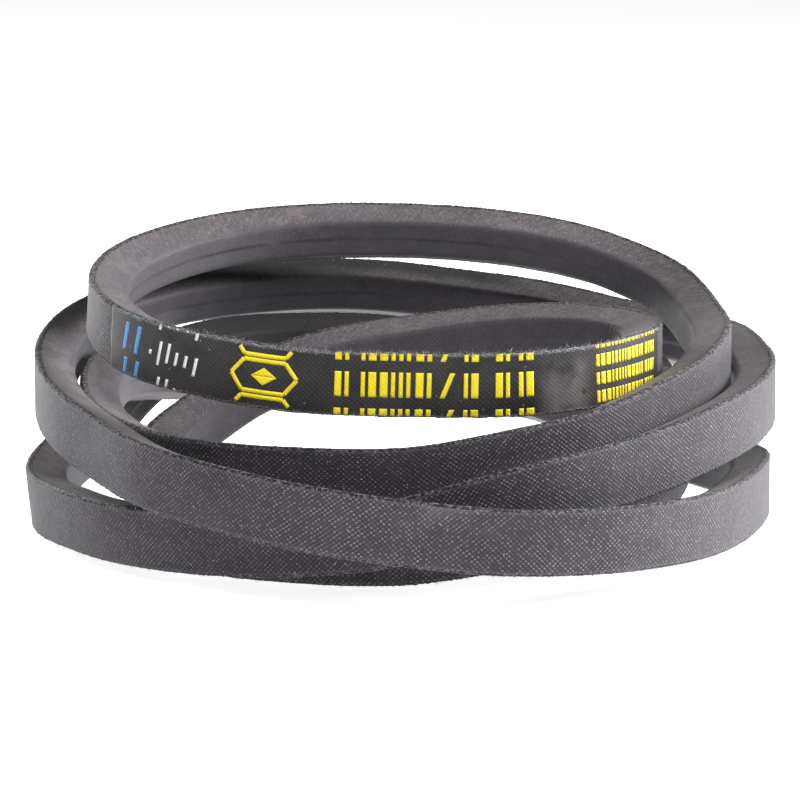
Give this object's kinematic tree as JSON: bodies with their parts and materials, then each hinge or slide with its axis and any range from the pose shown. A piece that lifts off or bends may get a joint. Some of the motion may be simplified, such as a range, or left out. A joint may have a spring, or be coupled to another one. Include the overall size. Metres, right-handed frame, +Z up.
{
  "type": "v belt",
  "caption": "Endless wrapped rubber drive belt of wedge section, coiled in overlapping turns and standing on its edge.",
  "frame": {"origin": "on the resting plane, under the middle of the coil's bounding box", "axes": "+Z up, the shortest extent of the coil; -Y towards the side that carries the label, where the lowest front run is nearest; +X to that side's right"},
  "size_m": [0.151, 0.1806, 0.0582],
  "materials": {
    "cover_fabric": "rubber-coated woven fabric, matt",
    "black_rubber": "matt",
    "adhesion_rubber": "matt",
    "polyester_cord": "twisted cord",
    "label_film": "thin printed transfer film"
  },
  "bodies": {
    "root": {"cover_fabric": "cover_fabric", "tension_rubber": "black_rubber", "adhesion_rubber": "adhesion_rubber", "compression_rubber": "black_rubber", "label_film": "label_film", "tension_cord_1": "polyester_cord", "tension_cord_2": "polyester_cord", "tension_cord_3": "polyester_cord", "tension_cord_4": "polyester_cord", "tension_cord_5": "polyester_cord", "tension_cord_6": "polyester_cord"}
  },
  "joints": []
}
